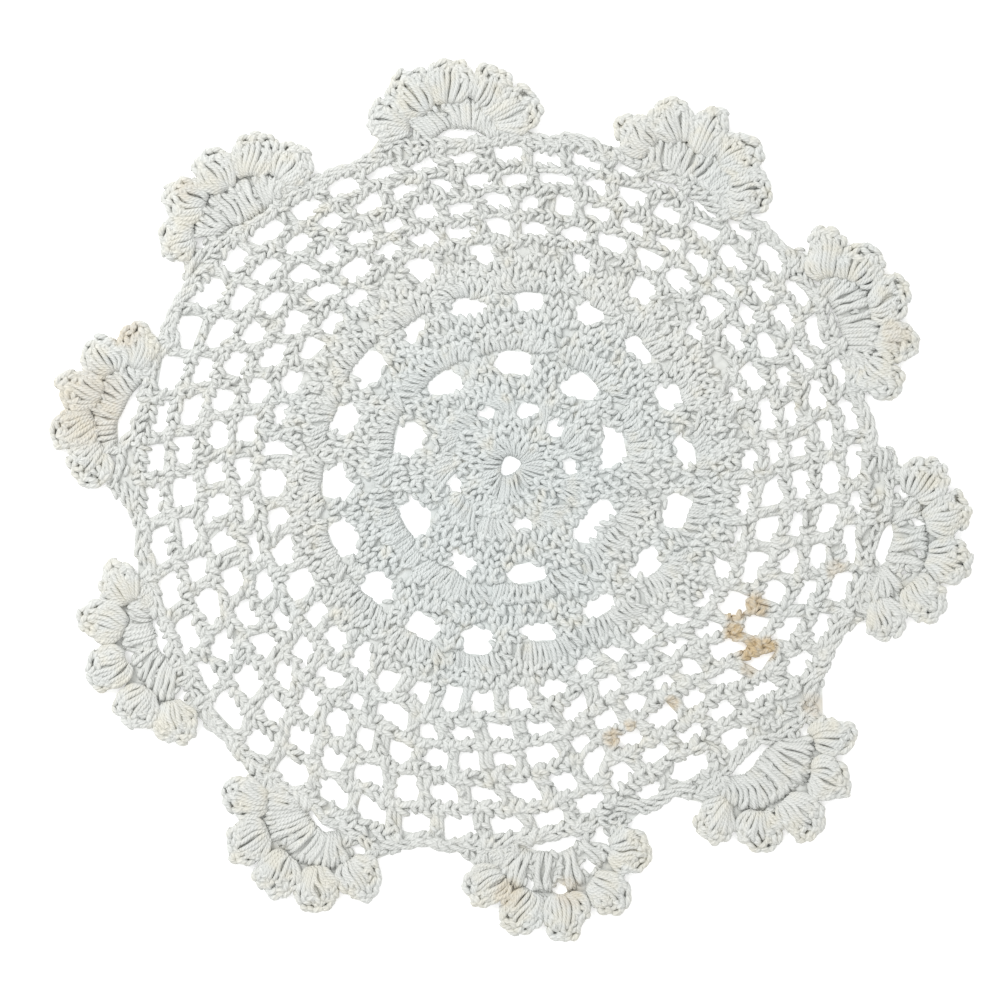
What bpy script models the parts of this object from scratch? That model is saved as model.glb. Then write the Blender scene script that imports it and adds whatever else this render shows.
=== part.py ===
"""Crocheted lace doily, worked in the round from one cotton thread.

One flat solid lies on z = 0. Its outline is a corded edge with ten scallops of
five petals each, its openings follow the rounds of the crochet, and each petal
is a low dome. The cloth is a little pulled out of round: `pulled` moves every
point of the even pattern to where the worn cloth has it.
"""
import math
import random

import bmesh
import bpy
import mathutils

MM = 0.001

# Driving dimensions, in metres
ROSETTE_X = 0.94 * MM
ROSETTE_Y = 10.07 * MM
SHEET_THICKNESS = 2.4 * MM
EDGE_RADIUS = 122.5 * MM
PETAL_RADIUS = 7.5 * MM
PETAL_TOP = 5.0 * MM
PETALS = 5
PETAL_SPREAD = 68.0
PETAL_ARC_STEPS = 5
DOME_BASE = 1.2 * MM
DOME_HALF_LENGTH = 7.2 * MM
DOME_HALF_WIDTH = 5.8 * MM
NARROWEST_GAP = 2.5 * MM
WELD = 0.01 * MM

# How the cloth is pulled out of round, as shares of the radius
SHIFT = 0.068
SHIFT_TOWARD = 245.0
STRETCH = 0.027
STRETCH_TOWARD = 16.0
CORNERS = 0.011
CORNERS_TOWARD = 8.0
RIPPLE = 0.012
RIPPLE_TOWARD = 60.0
TWIST_BACK = 9.0
TWIST_AT = 265.0
TWIST_WIDTH = 32.0

# Openings about the rosette: six between the feet of the shells, nine under the
# inner arches and eighteen under the outer ones. Skew moves the inner side round
CENTRE_HOLE_RADIUS = 2.7 * MM
CENTRE_HOLE_SIDES = 8
ARCHES = (
    # angle  radius      length      width       skew
    (0.0, 18.5 * MM, 5.2 * MM, 4.0 * MM, 0.0 * MM),
    (40.0, 19.6 * MM, 5.6 * MM, 4.0 * MM, 0.4 * MM),
    (73.0, 20.0 * MM, 6.2 * MM, 4.2 * MM, 0.0 * MM),
    (117.0, 19.8 * MM, 4.8 * MM, 3.6 * MM, 0.4 * MM),
    (200.0, 18.8 * MM, 5.2 * MM, 3.2 * MM, -0.6 * MM),
    (284.0, 20.0 * MM, 6.0 * MM, 4.8 * MM, 0.4 * MM),
    (10.0, 33.6 * MM, 14.2 * MM, 7.6 * MM, -3.4 * MM),
    (49.0, 36.0 * MM, 12.8 * MM, 7.2 * MM, 1.6 * MM),
    (88.0, 36.0 * MM, 11.8 * MM, 6.2 * MM, -1.0 * MM),
    (129.0, 35.8 * MM, 12.8 * MM, 6.4 * MM, 1.0 * MM),
    (166.0, 34.6 * MM, 13.2 * MM, 6.8 * MM, -1.4 * MM),
    (208.0, 34.8 * MM, 14.2 * MM, 7.2 * MM, -2.0 * MM),
    (247.0, 34.8 * MM, 12.2 * MM, 6.6 * MM, 0.8 * MM),
    (284.0, 36.2 * MM, 12.0 * MM, 5.4 * MM, -1.6 * MM),
    (327.0, 33.2 * MM, 16.4 * MM, 7.0 * MM, -3.0 * MM),
    (5.0, 57.0 * MM, 11.2 * MM, 5.0 * MM, 0.8 * MM),
    (24.0, 57.2 * MM, 9.0 * MM, 5.4 * MM, 0.0 * MM),
    (42.5, 58.2 * MM, 10.6 * MM, 4.2 * MM, -0.8 * MM),
    (63.0, 59.6 * MM, 9.6 * MM, 6.0 * MM, 0.6 * MM),
    (84.0, 58.4 * MM, 11.2 * MM, 4.4 * MM, -0.6 * MM),
    (105.0, 57.8 * MM, 12.2 * MM, 5.4 * MM, 0.8 * MM),
    (125.0, 57.8 * MM, 9.8 * MM, 5.2 * MM, 0.0 * MM),
    (145.0, 57.4 * MM, 11.4 * MM, 6.6 * MM, -1.0 * MM),
    (164.5, 56.8 * MM, 11.0 * MM, 6.4 * MM, 0.6 * MM),
    (185.0, 56.8 * MM, 12.0 * MM, 7.4 * MM, -0.8 * MM),
    (203.0, 57.6 * MM, 11.8 * MM, 6.8 * MM, 1.0 * MM),
    (223.0, 56.8 * MM, 10.4 * MM, 7.4 * MM, 0.0 * MM),
    (244.0, 57.8 * MM, 11.8 * MM, 7.2 * MM, -1.2 * MM),
    (264.0, 57.8 * MM, 10.8 * MM, 6.4 * MM, 0.6 * MM),
    (283.5, 56.0 * MM, 10.6 * MM, 5.0 * MM, -0.6 * MM),
    (303.5, 55.4 * MM, 13.0 * MM, 4.6 * MM, 1.0 * MM),
    (325.0, 55.6 * MM, 12.2 * MM, 7.0 * MM, -0.8 * MM),
    (345.0, 56.2 * MM, 11.4 * MM, 7.2 * MM, 0.8 * MM),
)
# An arch's opening, as shares of its length and width
ARCH_FLOOR = 0.5
ARCH_CROWN = 0.6
ARCH_SPRING = 0.1

# Slits between the last round and the rim
RIM_SLITS = (
    # angle  radius      length      width       skew
    (292.6, 116.4 * MM, 10.0 * MM, 3.4 * MM, 0.6 * MM),
    (301.0, 116.9 * MM, 12.0 * MM, 4.6 * MM, -0.6 * MM),
    (309.4, 117.1 * MM, 9.6 * MM, 4.2 * MM, 0.8 * MM),
)

# Net rounds, from the chain that each stands on to the chain it carries. The
# pairs of posts drift round towards one side, by up to the drift in degrees. A
# pair leans a little from its foot to its top, and no two lean quite alike. At
# one place the rounds are gathered inward, and long slits open along the rim
NET_ROUNDS = (
    # inner chain  outer chain  pairs  first pair  drift  lower edge  upper edge  crowding
    (72.6 * MM, 82.0 * MM, 42, -2.1, 1.6, 75.0 * MM, 79.6 * MM, 0.4 * MM),
    (82.0 * MM, 91.0 * MM, 42, 1.7, 3.0, 84.1 * MM, 88.9 * MM, -0.1 * MM),
    (91.0 * MM, 100.5 * MM, 50, 2.1, 2.7, 93.5 * MM, 97.9 * MM, 0.6 * MM),
    (100.5 * MM, 110.3 * MM, 50, -2.3, 3.0, 103.1 * MM, 107.6 * MM, 0.7 * MM),
    (110.3 * MM, 120.6 * MM, 50, 0.3, 2.4, 112.7 * MM, 116.8 * MM, 0.4 * MM),
)
DRIFT_AT = 157.0
GATHER = 0.07
GATHERED_AT = 302.5
GATHER_SPAN = 16.0
PAIR_WIDTH = 4.9 * MM
PAIR_LEAN = 1.8 * MM
PAIR_STRAY = 1.0 * MM
CROWDED_AT = 55.0
CHAIN_STRAY = 0.5 * MM
CORNER_STRAY = 0.6 * MM
CORNER_SEED = 40
SAG = 1.6 * MM

# The first round's openings follow the tops of the eighteen outer shells: they
# dip between two shells, and are filled where the crowns are pulled over them
SHELLS = 18
SHELL_HALF_SPAN = 10.0
SHELL_GAP_DEPTH = 2.2 * MM
SHELL_CROWN = 2.6 * MM
CROWNS_OVER_AT = 60.0

# Scallops: place of the middle of the chain arch, the way it faces, and the
# half width and height of the curve through the middles of its petals
SCALLOPS = (
    # angle  distance     facing  half width  height
    (23.9, 116.7 * MM, 24.0, 24.6 * MM, 21.0 * MM),
    (58.9, 110.9 * MM, 63.0, 22.8 * MM, 19.3 * MM),
    (99.8, 111.4 * MM, 94.0, 23.4 * MM, 18.9 * MM),
    (137.0, 120.0 * MM, 123.0, 25.0 * MM, 20.4 * MM),
    (171.8, 126.4 * MM, 158.0, 23.4 * MM, 20.2 * MM),
    (207.4, 127.9 * MM, 202.0, 27.2 * MM, 21.8 * MM),
    (241.0, 132.6 * MM, 235.0, 25.3 * MM, 24.2 * MM),
    (276.0, 124.6 * MM, 283.0, 26.8 * MM, 26.0 * MM),
    (310.6, 126.0 * MM, 306.0, 25.9 * MM, 25.4 * MM),
    (348.6, 125.2 * MM, 344.0, 26.4 * MM, 23.8 * MM),
)
CRESCENTS = (
    # scallop  along     outward    half length  rise       dip
    (0, 0.0 * MM, -0.2 * MM, 9.4 * MM, 2.2 * MM, 0.6 * MM),
    (2, -2.4 * MM, -0.6 * MM, 8.8 * MM, 2.2 * MM, 0.3 * MM),
    (4, 0.0 * MM, 1.0 * MM, 9.6 * MM, 3.4 * MM, 1.2 * MM),
    (5, -2.7 * MM, 0.9 * MM, 8.5 * MM, 2.6 * MM, 0.8 * MM),
    (6, 2.1 * MM, 0.6 * MM, 5.4 * MM, 1.8 * MM, 0.6 * MM),
    (7, 1.7 * MM, 1.0 * MM, 10.0 * MM, 2.4 * MM, 1.0 * MM),
    (8, -1.7 * MM, -0.3 * MM, 9.2 * MM, 1.9 * MM, 1.3 * MM),
    (9, -1.1 * MM, 1.3 * MM, 7.4 * MM, 1.8 * MM, 0.6 * MM),
)
PETAL_GAPS = (
    # scallop  along     outward     half length  half width
    (5, -9.8 * MM, 14.3 * MM, 1.5 * MM, 1.6 * MM),
    (5, -0.4 * MM, 13.9 * MM, 1.7 * MM, 1.4 * MM),
    (7, -10.0 * MM, 13.2 * MM, 1.2 * MM, 1.8 * MM),
    (7, -0.5 * MM, 16.9 * MM, 1.8 * MM, 1.2 * MM),
    (7, 10.0 * MM, 12.2 * MM, 2.0 * MM, 1.8 * MM),
    (9, -9.0 * MM, 11.1 * MM, 1.4 * MM, 1.3 * MM),
    (9, 0.0 * MM, 13.3 * MM, 1.3 * MM, 1.4 * MM),
    (9, 9.6 * MM, 10.7 * MM, 1.1 * MM, 1.8 * MM),
)
FOOT_GAP_ALONG = 17.6 * MM
FOOT_GAP_OUT = 2.6 * MM
FOOT_GAP_HALF = 2.6 * MM

# The outline: where an end petal's arc meets the foot of its scallop, and the
# points of the corded edge between two scallops, as shares of the way
FOOT_ALONG = 23.9 * MM
FOOT_BACK = 3.75 * MM
FOOT_TURN = 20.0
EDGE_SHARES = (0.42, 0.5, 0.58)


def pulled(radius, degrees):
    """Point (x, y) in the frame of a place in the even round pattern."""
    reach = radius / EDGE_RADIUS
    scale = (
        1.0
        + SHIFT * reach * math.cos(math.radians(degrees - SHIFT_TOWARD))
        + STRETCH * math.cos(math.radians(2.0 * (degrees - STRETCH_TOWARD)))
        + CORNERS * math.cos(math.radians(3.0 * (degrees - CORNERS_TOWARD)))
        + RIPPLE * reach * math.cos(math.radians(4.0 * (degrees - RIPPLE_TOWARD)))
    )
    away = (degrees - TWIST_AT + 180.0) % 360.0 - 180.0
    twist = TWIST_BACK * (1.0 - reach) * math.exp(-((away / TWIST_WIDTH) ** 2))
    angle = math.radians(degrees - twist)
    x = ROSETTE_X + radius * scale * math.cos(angle)
    y = ROSETTE_Y + radius * scale * math.sin(angle)
    return x, y


def arch_gap(degrees, radius, length, width, skew):
    """Opening under a chain arch: six corners, blunt at both ends."""
    half = math.degrees(0.5 * length / radius)
    turn = math.degrees(skew / radius)
    inner = radius - 0.5 * width
    outer = radius + 0.5 * width
    spring = radius - ARCH_SPRING * width
    return [
        pulled(spring, degrees - half),
        pulled(inner, degrees + turn - ARCH_FLOOR * half),
        pulled(inner, degrees + turn + ARCH_FLOOR * half),
        pulled(spring, degrees + half),
        pulled(outer, degrees + ARCH_CROWN * half),
        pulled(outer, degrees - ARCH_CROWN * half),
    ]


def shell_rise(degrees):
    """How far the tops of the outer shells stand above (or dip below) their chain."""
    aside = min(abs((row[0] - degrees + 180.0) % 360.0 - 180.0) for row in ARCHES[-SHELLS:])
    valley = min(1.0, aside / SHELL_HALF_SPAN) ** 2
    pulled_over = 0.5 + 0.5 * math.cos(math.radians(degrees - CROWNS_OVER_AT))
    return SHELL_CROWN * pulled_over * (1.0 - valley) - SHELL_GAP_DEPTH * valley


def gathered(radius, degrees):
    """Point of the net, drawn inward where its rounds are gathered."""
    away = (degrees - GATHERED_AT + 180.0) % 360.0 - 180.0
    return pulled(radius * (1.0 - GATHER * math.exp(-((away / GATHER_SPAN) ** 4))), degrees)


def net_gaps(place):
    """Openings of one net round: each has four corners between two pairs of posts,
    and its chain sags below it or is drawn up over it between them."""
    inner_chain, outer_chain, pairs, first, drift, lower, upper, crowding = NET_ROUNDS[place]
    stray = random.Random(place)
    corner = random.Random(CORNER_SEED + place)
    feet, tops, inners, outers = [], [], [], []
    for step in range(pairs):
        even = first + 360.0 * step / pairs
        degrees = even + drift * math.cos(math.radians(even - DRIFT_AT))
        foot = PAIR_STRAY * stray.uniform(-1.0, 1.0) - 0.5 * PAIR_LEAN
        top = PAIR_STRAY * stray.uniform(-1.0, 1.0) + 0.5 * PAIR_LEAN
        feet.append(degrees + math.degrees(foot / inner_chain))
        tops.append(degrees + math.degrees(top / outer_chain))
        inners.append(CHAIN_STRAY * stray.uniform(-1.0, 1.0))
        outers.append(CHAIN_STRAY * stray.uniform(-1.0, 1.0))
    found = []
    for step in range(pairs):
        after = (step + 1) % pairs
        turn = 360.0 if after == 0 else 0.0
        low, low_after, high_after, high = [CORNER_STRAY * corner.uniform(-1.0, 1.0) for _ in range(4)]
        sag = SAG * corner.uniform(-1.0, 1.0)
        middle = 0.5 * (feet[step] + tops[after] + turn)
        crowded = crowding * math.cos(math.radians(middle - CROWDED_AT))
        inner = lower + crowded + inners[step]
        outer = upper - crowded + outers[step]
        if place == 0:
            inner += shell_rise(middle)
        if outer - inner < NARROWEST_GAP:
            continue
        foot_side = math.degrees(0.5 * PAIR_WIDTH / inner_chain)
        top_side = math.degrees(0.5 * PAIR_WIDTH / outer_chain)
        foot_from = feet[step] + foot_side
        foot_to = feet[after] + turn - foot_side
        top_to = tops[after] + turn - top_side
        top_from = tops[step] + top_side
        gap = [gathered(inner + low, foot_from), gathered(inner + low_after, foot_to)]
        gap += [gathered(outer + high_after, top_to), gathered(outer + high, top_from)]
        if sag < 0.0:
            gap.insert(1, gathered(inner + sag, 0.5 * (foot_from + foot_to)))
        else:
            gap.insert(3, gathered(outer + sag, 0.5 * (top_from + top_to)))
        found.append(gap)
    return found


def scallop_frame(row):
    """Middle of a scallop's arch and its unit vectors outward and along."""
    angle, distance, facing = row[:3]
    x = ROSETTE_X + distance * math.cos(math.radians(angle))
    y = ROSETTE_Y + distance * math.sin(math.radians(angle))
    out = (math.cos(math.radians(facing)), math.sin(math.radians(facing)))
    along = (-out[1], out[0])
    return (x, y), out, along


def scallop_point(row, along_by, out_by):
    """Point at a distance along and outward from the middle of the arch."""
    middle, out, along = scallop_frame(row)
    x = middle[0] + along_by * along[0] + out_by * out[0]
    y = middle[1] + along_by * along[1] + out_by * out[1]
    return x, y


def petal_middles(row):
    """Middles of a scallop's petals, in the order that the edge is walked."""
    half_width, height = row[3], row[4]
    middles = []
    for step in range(PETALS):
        turn = math.radians(PETAL_SPREAD * (2.0 * step / (PETALS - 1) - 1.0))
        middles.append(scallop_point(row, half_width * math.sin(turn), height * math.cos(turn)))
    return middles


def heading(start, end):
    """Direction from one point to another, in radians."""
    return math.atan2(end[1] - start[1], end[0] - start[0])


def arc_end(middle, neighbour):
    """Turn from the way to a neighbouring petal to where the two arcs cross."""
    return math.acos(min(1.0, 0.5 * math.dist(middle, neighbour) / PETAL_RADIUS))


def scallop_outline(row):
    """Outer edge of a scallop: an arc round each petal, notch to notch."""
    middles = petal_middles(row)
    feet = [scallop_point(row, side * FOOT_ALONG, -FOOT_BACK) for side in (-1.0, 1.0)]
    stops = [feet[0]] + middles + [feet[1]]
    turns = [math.radians(FOOT_TURN)] * (PETALS + 1)
    for place in range(1, PETALS):
        turns[place] = arc_end(middles[place - 1], middles[place])
    points = []
    for place, middle in enumerate(middles):
        start = heading(middle, stops[place]) + turns[place]
        end = heading(middle, stops[place + 2]) - turns[place + 1]
        sweep = (end - start) % math.tau
        first = 0 if place == 0 else 1
        for step in range(first, PETAL_ARC_STEPS + 1):
            angle = start + sweep * step / PETAL_ARC_STEPS
            x = middle[0] + PETAL_RADIUS * math.cos(angle)
            y = middle[1] + PETAL_RADIUS * math.sin(angle)
            points.append((x, y))
    return points


def edge_outline():
    """The whole outline: scallops joined by the corded edge between them."""
    points = []
    count = len(SCALLOPS)
    for place, row in enumerate(SCALLOPS):
        following = SCALLOPS[(place + 1) % count]
        points += scallop_outline(row)
        here = row[0]
        gap = (following[0] - here) % 360.0
        for share in EDGE_SHARES:
            points.append(pulled(EDGE_RADIUS, here + share * gap))
    return points


def crescent(row, along, out, half_length, rise, dip):
    """Crescent opening under a scallop's arch, bent outward by the rise on its outer
    side and inward by the dip on its inner side."""
    points = []
    for share in (-1.0, -0.5, 0.0, 0.5):
        points.append(scallop_point(row, along + share * half_length, out - dip * (1.0 - share * share)))
    for share in (1.0, 0.5, 0.0, -0.5):
        points.append(scallop_point(row, along + share * half_length, out + rise * (1.0 - share * share)))
    return points


def small_gap(row, along, out, half_length, half_width):
    """Small four-cornered opening of a scallop, a corner at each end and side."""
    return [
        scallop_point(row, along - half_length, out),
        scallop_point(row, along, out - half_width),
        scallop_point(row, along + half_length, out),
        scallop_point(row, along, out + half_width),
    ]


def openings():
    """Every opening as a closed list of points, from the middle out."""
    found = []
    ring = []
    for step in range(CENTRE_HOLE_SIDES):
        ring.append(pulled(CENTRE_HOLE_RADIUS, 360.0 * step / CENTRE_HOLE_SIDES))
    found.append(ring)
    for row in ARCHES + RIM_SLITS:
        found.append(arch_gap(*row))
    for place in range(len(NET_ROUNDS)):
        found += net_gaps(place)
    for place, along, out, half_length, rise, dip in CRESCENTS:
        found.append(crescent(SCALLOPS[place], along, out, half_length, rise, dip))
    for row in SCALLOPS:
        found.append(small_gap(row, FOOT_GAP_ALONG, FOOT_GAP_OUT, FOOT_GAP_HALF, FOOT_GAP_HALF))
    for place, along, out, half_length, half_width in PETAL_GAPS:
        found.append(small_gap(SCALLOPS[place], along, out, half_length, half_width))
    return found


def add_spline(curve, points):
    """Closed straight-sided spline through the points."""
    spline = curve.splines.new("POLY")
    spline.points.add(len(points) - 1)
    for point, (x, y) in zip(spline.points, points):
        point.co = (x, y, 0.0, 1.0)
    spline.use_cyclic_u = True


def sheet_mesh():
    """Flat sheet with its openings, from a filled curve, as a closed mesh."""
    curve = bpy.data.curves.new("doily_outline", "CURVE")
    curve.dimensions = "2D"
    curve.fill_mode = "BOTH"
    curve.extrude = 0.5 * SHEET_THICKNESS
    add_spline(curve, edge_outline())
    for points in openings():
        add_spline(curve, points)
    guide = bpy.data.objects.new("doily_outline", curve)
    bpy.context.scene.collection.objects.link(guide)
    bpy.context.view_layer.update()
    evaluated = guide.evaluated_get(bpy.context.evaluated_depsgraph_get())
    mesh = bpy.data.meshes.new_from_object(evaluated)
    bpy.data.objects.remove(guide)
    bpy.data.curves.remove(curve)
    work = bmesh.new()
    work.from_mesh(mesh)
    bmesh.ops.remove_doubles(work, verts=work.verts, dist=WELD)
    bmesh.ops.translate(work, verts=work.verts, vec=(0.0, 0.0, 0.5 * SHEET_THICKNESS))
    bmesh.ops.recalc_face_normals(work, faces=work.faces)
    work.to_mesh(mesh)
    work.free()
    mesh.name = "doily"
    return mesh


def petal_domes():
    """Low domes over all the petals, as one closed mesh sunk into the sheet."""
    work = bmesh.new()
    for row in SCALLOPS:
        centre = scallop_frame(row)[0]
        for middle in petal_middles(row):
            lean = heading(centre, middle)
            made = bmesh.ops.create_uvsphere(work, u_segments=8, v_segments=4, radius=1.0)
            spot = mathutils.Matrix.Translation((middle[0], middle[1], DOME_BASE))
            turn = mathutils.Matrix.Rotation(lean, 4, "Z")
            size = mathutils.Matrix.Diagonal((DOME_HALF_LENGTH, DOME_HALF_WIDTH, PETAL_TOP - DOME_BASE, 1.0))
            bmesh.ops.transform(work, matrix=spot @ turn @ size, verts=made["verts"])
    geometry = work.verts[:] + work.edges[:] + work.faces[:]
    base = (0.0, 0.0, DOME_BASE)
    bmesh.ops.bisect_plane(work, geom=geometry, plane_co=base, plane_no=(0.0, 0.0, 1.0), clear_inner=True)
    rim = [edge for edge in work.edges if edge.is_boundary]
    bmesh.ops.holes_fill(work, edges=rim, sides=0)
    bmesh.ops.recalc_face_normals(work, faces=work.faces)
    mesh = bpy.data.meshes.new("petal_domes")
    work.to_mesh(mesh)
    work.free()
    return mesh


def cotton():
    """Off-white cotton thread."""
    material = bpy.data.materials.new("cotton")
    material.use_nodes = True
    shader = material.node_tree.nodes["Principled BSDF"]
    shader.inputs["Base Color"].default_value = (0.74, 0.73, 0.69, 1.0)
    shader.inputs["Roughness"].default_value = 0.9
    shader.inputs["Metallic"].default_value = 0.0
    return material


def collection(name):
    """New collection linked to the scene."""
    made = bpy.data.collections.new(name)
    bpy.context.scene.collection.children.link(made)
    return made


for leftover in list(bpy.data.objects):
    bpy.data.objects.remove(leftover)

parts = collection("lace_doily")
tools = collection("doily_tools")

domes = bpy.data.objects.new("petal_domes", petal_domes())
domes.hide_render = True
domes.display_type = "WIRE"
tools.objects.link(domes)

doily = bpy.data.objects.new("doily", sheet_mesh())
doily.data.materials.append(cotton())
parts.objects.link(doily)

raise_petals = doily.modifiers.new("raise_petals", "BOOLEAN")
raise_petals.operation = "UNION"
raise_petals.solver = "EXACT"
raise_petals.object = domes
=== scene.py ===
import math
import random

import bmesh
import bpy
import numpy as np
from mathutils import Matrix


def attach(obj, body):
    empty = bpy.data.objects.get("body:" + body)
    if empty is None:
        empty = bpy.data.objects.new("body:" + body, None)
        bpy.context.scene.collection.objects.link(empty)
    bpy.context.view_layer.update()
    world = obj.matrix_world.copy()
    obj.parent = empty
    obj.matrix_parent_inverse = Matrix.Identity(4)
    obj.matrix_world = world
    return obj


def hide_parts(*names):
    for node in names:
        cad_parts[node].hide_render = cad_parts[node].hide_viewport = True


# The doily as it lies: a round of crocheted cotton lace, a little pulled out of
# true, with ten scallops. Every strand is yarn carried along its stitch.
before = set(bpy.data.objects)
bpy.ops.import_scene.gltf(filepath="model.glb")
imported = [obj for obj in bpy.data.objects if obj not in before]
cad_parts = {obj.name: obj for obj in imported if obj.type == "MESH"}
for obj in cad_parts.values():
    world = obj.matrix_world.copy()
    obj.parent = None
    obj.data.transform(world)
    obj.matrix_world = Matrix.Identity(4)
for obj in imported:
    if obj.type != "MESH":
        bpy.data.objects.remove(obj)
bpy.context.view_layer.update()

MM = 0.001

# --------------------
# Table, light and camera. A plain white table top, lit a little from within, under
# soft light from all round, a broad lamp over the upper left, and a camera straight overhead.
VIEW_X = -2.73 * MM
VIEW_Y = -0.93 * MM
VIEW_WIDTH = 333.3 * MM
VIEW_HEIGHT = 0.9
SENSOR_WIDTH = 36.0
TABLE_HALF = 3.0
TABLE_WHITE = (0.95, 0.95, 0.95, 1.0)
TABLE_LOOK = {
    "Base Color": TABLE_WHITE,
    "Roughness": 0.8,
    "Emission Color": TABLE_WHITE,
    "Emission Strength": 0.28,
}
SKY_WHITE = (1.0, 1.0, 1.0, 1.0)
SKY_STRENGTH = 1.02
LAMP_PLACE = (-0.75, 0.6, 0.95)
LAMP_SIZE = 0.5
LAMP_POWER = 9.0

camera_data = bpy.data.cameras.new("overhead")
camera_data.type = "PERSP"
camera_data.sensor_width = SENSOR_WIDTH
camera_data.lens = SENSOR_WIDTH * VIEW_HEIGHT / VIEW_WIDTH
camera_data.clip_start = 0.01
camera = bpy.data.objects.new("overhead", camera_data)
camera.location = (VIEW_X, VIEW_Y, VIEW_HEIGHT)
bpy.context.scene.collection.objects.link(camera)
bpy.context.scene.camera = camera

table_white = bpy.data.materials.new("table_white")
table_white.use_nodes = True
for socket, value in TABLE_LOOK.items():
    table_white.node_tree.nodes["Principled BSDF"].inputs[socket].default_value = value

table_mesh = bpy.data.meshes.new("table_top")
corners = [(-1, -1), (1, -1), (1, 1), (-1, 1)]
table_mesh.from_pydata([(TABLE_HALF * x, TABLE_HALF * y, 0.0) for x, y in corners], [], [(0, 1, 2, 3)])
table_mesh.materials.append(table_white)
table = bpy.data.objects.new("table_top", table_mesh)
bpy.context.scene.collection.objects.link(table)

sky = bpy.data.worlds.new("soft_daylight")
sky.use_nodes = True
sky.node_tree.nodes["Background"].inputs["Color"].default_value = SKY_WHITE
sky.node_tree.nodes["Background"].inputs["Strength"].default_value = SKY_STRENGTH
bpy.context.scene.world = sky

lamp_data = bpy.data.lights.new("window_lamp", "AREA")
lamp_data.size = LAMP_SIZE
lamp_data.energy = LAMP_POWER
lamp = bpy.data.objects.new("window_lamp", lamp_data)
lamp.location = LAMP_PLACE
reach = math.hypot(LAMP_PLACE[0], LAMP_PLACE[1])
lamp.rotation_euler = (0.0, -math.atan2(reach, LAMP_PLACE[2]), math.atan2(-LAMP_PLACE[1], -LAMP_PLACE[0]))
bpy.context.scene.collection.objects.link(lamp)
bpy.context.scene.view_settings.view_transform = "Standard"

# --------------------
# Yarn. The whole doily is worked in one off-white cotton of four plies, washed
# soft, a little cooler in the middle, creamier at the rim, with a few old stains.
PLIES = 4
PLY_TURN = 5.2 * MM
PLY_RELIEF = 0.18 * MM
FIBRE_RELIEF = 0.08 * MM
KNOT_RELIEF = 0.6 * MM
KNOT_SCALE = 340.0
FIBRE_SCALE = 1900.0
MOTTLE_SCALE = 34.0
PATCH_SCALE = 150.0
STAIN_EDGE_SCALE = 420.0
STAIN_GRAIN_SCALE = 620.0
STAIN_EDGE = 1.1 * MM
COOL_WITHIN = 15.0 * MM
PLAIN_BEYOND = 95.0 * MM
# Painted shade: LOW_SHADE and PLY_SHADE darken the yarn's colour toward YARN_SHADE where it lies low
# between strands and in the grooves between plies or knots; FIBRE_SHADE and TONE_SHADE darken it by fibre
# noise and by each strand's own tone.
LOW_SHADE = 0.22
PLY_SHADE = 0.23
FIBRE_SHADE = 0.18
TONE_SHADE = 0.14
YARN_COOL = (0.690, 0.722, 0.714, 1.0)
YARN_PLAIN = (0.722, 0.732, 0.706, 1.0)
YARN_CREAM = (0.745, 0.722, 0.630, 1.0)
YARN_SHADE = (0.54, 0.55, 0.54, 1.0)
STAIN_TAN = (0.60, 0.465, 0.28, 1.0)
STAINS = (
    # x     y     radius  strength, in mm
    (82.3, -36.2, 5.4, 0.75),
    (75.6, -38.3, 4.2, 0.80),
    (75.3, -45.0, 4.6, 0.90),
    (81.3, -51.0, 6.0, 1.00),
    (86.0, -50.2, 4.6, 0.90),
    (80.0, -57.0, 3.6, 0.40),
    (35.0, -80.0, 4.0, 0.55),
    (40.6, -76.0, 2.6, 0.50),
    (54.6, -68.6, 3.2, 0.60),
    (129.0, 54.0, 6.0, 0.22),
    (101.3, -69.3, 5.0, 0.30),
    (109.0, -24.3, 4.4, 0.35),
    (-126.7, 55.0, 6.5, 0.35),
    (-106.7, 102.4, 5.0, 0.20),
    (-140.0, 30.0, 17.0, 0.24),
    (20.0, -131.0, 6.0, 0.30),
    (0.0, -131.6, 6.0, 0.30),
)


class Wire:
    """One output of a node. Sums and products with wires or numbers add Math nodes."""

    def __init__(self, finish, socket):
        self.finish = finish
        self.socket = socket

    def maths(self, operation, first, second=0.0):
        return self.finish.node("Math", {"operation": operation}, {0: first, 1: second})

    def __add__(self, other):
        return self.maths("ADD", self, other)

    __radd__ = __add__

    def __sub__(self, other):
        return self.maths("SUBTRACT", self, other)

    def __rsub__(self, other):
        return self.maths("SUBTRACT", other, self)

    def __mul__(self, other):
        return self.maths("MULTIPLY", self, other)

    __rmul__ = __mul__

    def largest(self, other):
        return self.maths("MAXIMUM", self, other)

    def least(self, other):
        return self.maths("MINIMUM", self, other)

    def sine(self):
        return self.maths("SINE", self)


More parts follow.
